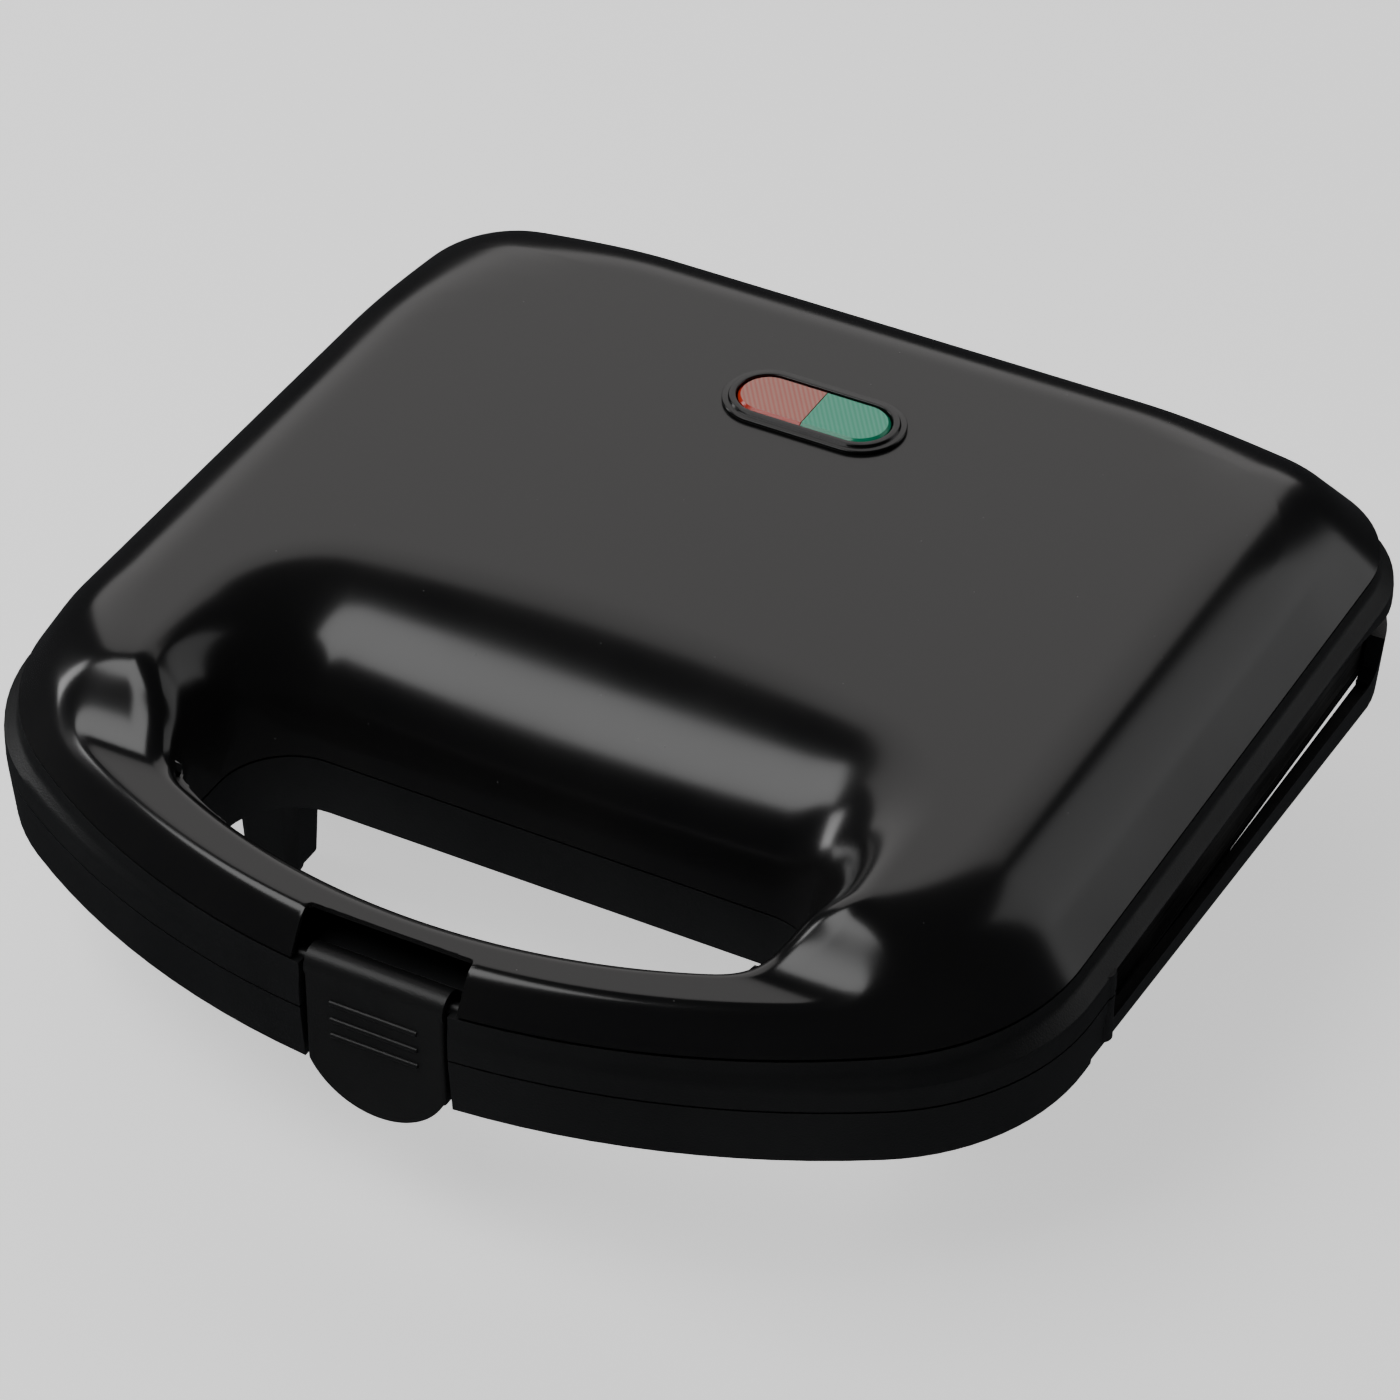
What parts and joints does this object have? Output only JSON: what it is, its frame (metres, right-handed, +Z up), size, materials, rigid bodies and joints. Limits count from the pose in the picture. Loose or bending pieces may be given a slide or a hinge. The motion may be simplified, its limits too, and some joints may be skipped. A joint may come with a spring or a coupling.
{
  "type": "donut maker",
  "caption": "Electric countertop donut maker with a hinged lid, front latch, looped carrying handle with finger opening, ring-mould plates and indicator lamps.",
  "frame": {"origin": "middle of the footprint, on the table the rubber pads stand on", "axes": "+Z up, -Y towards the handle and latch, +X to the right seen from the latch"},
  "size_m": [0.2438, 0.2454, 0.0805],
  "materials": {
    "gloss_black": "high gloss moulded",
    "matte_black": "satin moulded",
    "satin_black": "satin moulded",
    "red_lens": "ribbed translucent red",
    "green_lens": "ribbed translucent green",
    "white_plastic": "matte",
    "clear_glass": "clear",
    "nonstick": "non-stick coating on cast aluminium",
    "steel": "dull",
    "sheet_steel": "brushed sheet",
    "zinc": "zinc plated",
    "ceramic": "unglazed",
    "brass": "plain",
    "rubber": "matte"
  },
  "bodies": {
    "base": {"lower_frame": "matte_black", "lower_housing": "matte_black", "lower_plate": "nonstick", "lower_heater": "steel", "lower_heater_beads": "ceramic", "lower_heater_clips": "steel", "heat_shield_tray": "sheet_steel", "housing_screws": "zinc", "terminal_block": "ceramic", "terminal_screws": "brass", "cord_gland": "rubber", "foot_pads": "rubber", "hinge_pins": "steel"},
    "lid": {"top_cover": "gloss_black", "upper_frame": "matte_black", "upper_plate": "nonstick", "upper_heater": "steel", "upper_heater_beads": "ceramic", "upper_heater_clips": "steel", "upper_heat_shield": "sheet_steel", "upper_plate_screws": "zinc", "cover_screws": "zinc", "lamp_bezel": "gloss_black", "red_lens": "red_lens", "green_lens": "green_lens", "lamp_holder": "white_plastic", "neon_lamps": "clear_glass", "thermostat": "steel", "thermostat_bracket": "steel", "thermal_fuse": "brass", "latch_pin": "satin_black"},
    "latch": {"latch": "satin_black"}
  },
  "joints": [
    {"name": "lid_hinge", "type": "hinge", "parent": "base", "child": "lid", "pos_m": [0, 0.1191, 0.047], "axis": [-1, 0, 0], "range_deg": [0, 100]},
    {"name": "latch_pivot", "type": "hinge", "parent": "lid", "child": "latch", "pos_m": [0, -0.1185, 0.0574], "axis": [-1, 0, 0], "range_deg": [0, 30]}
  ]
}
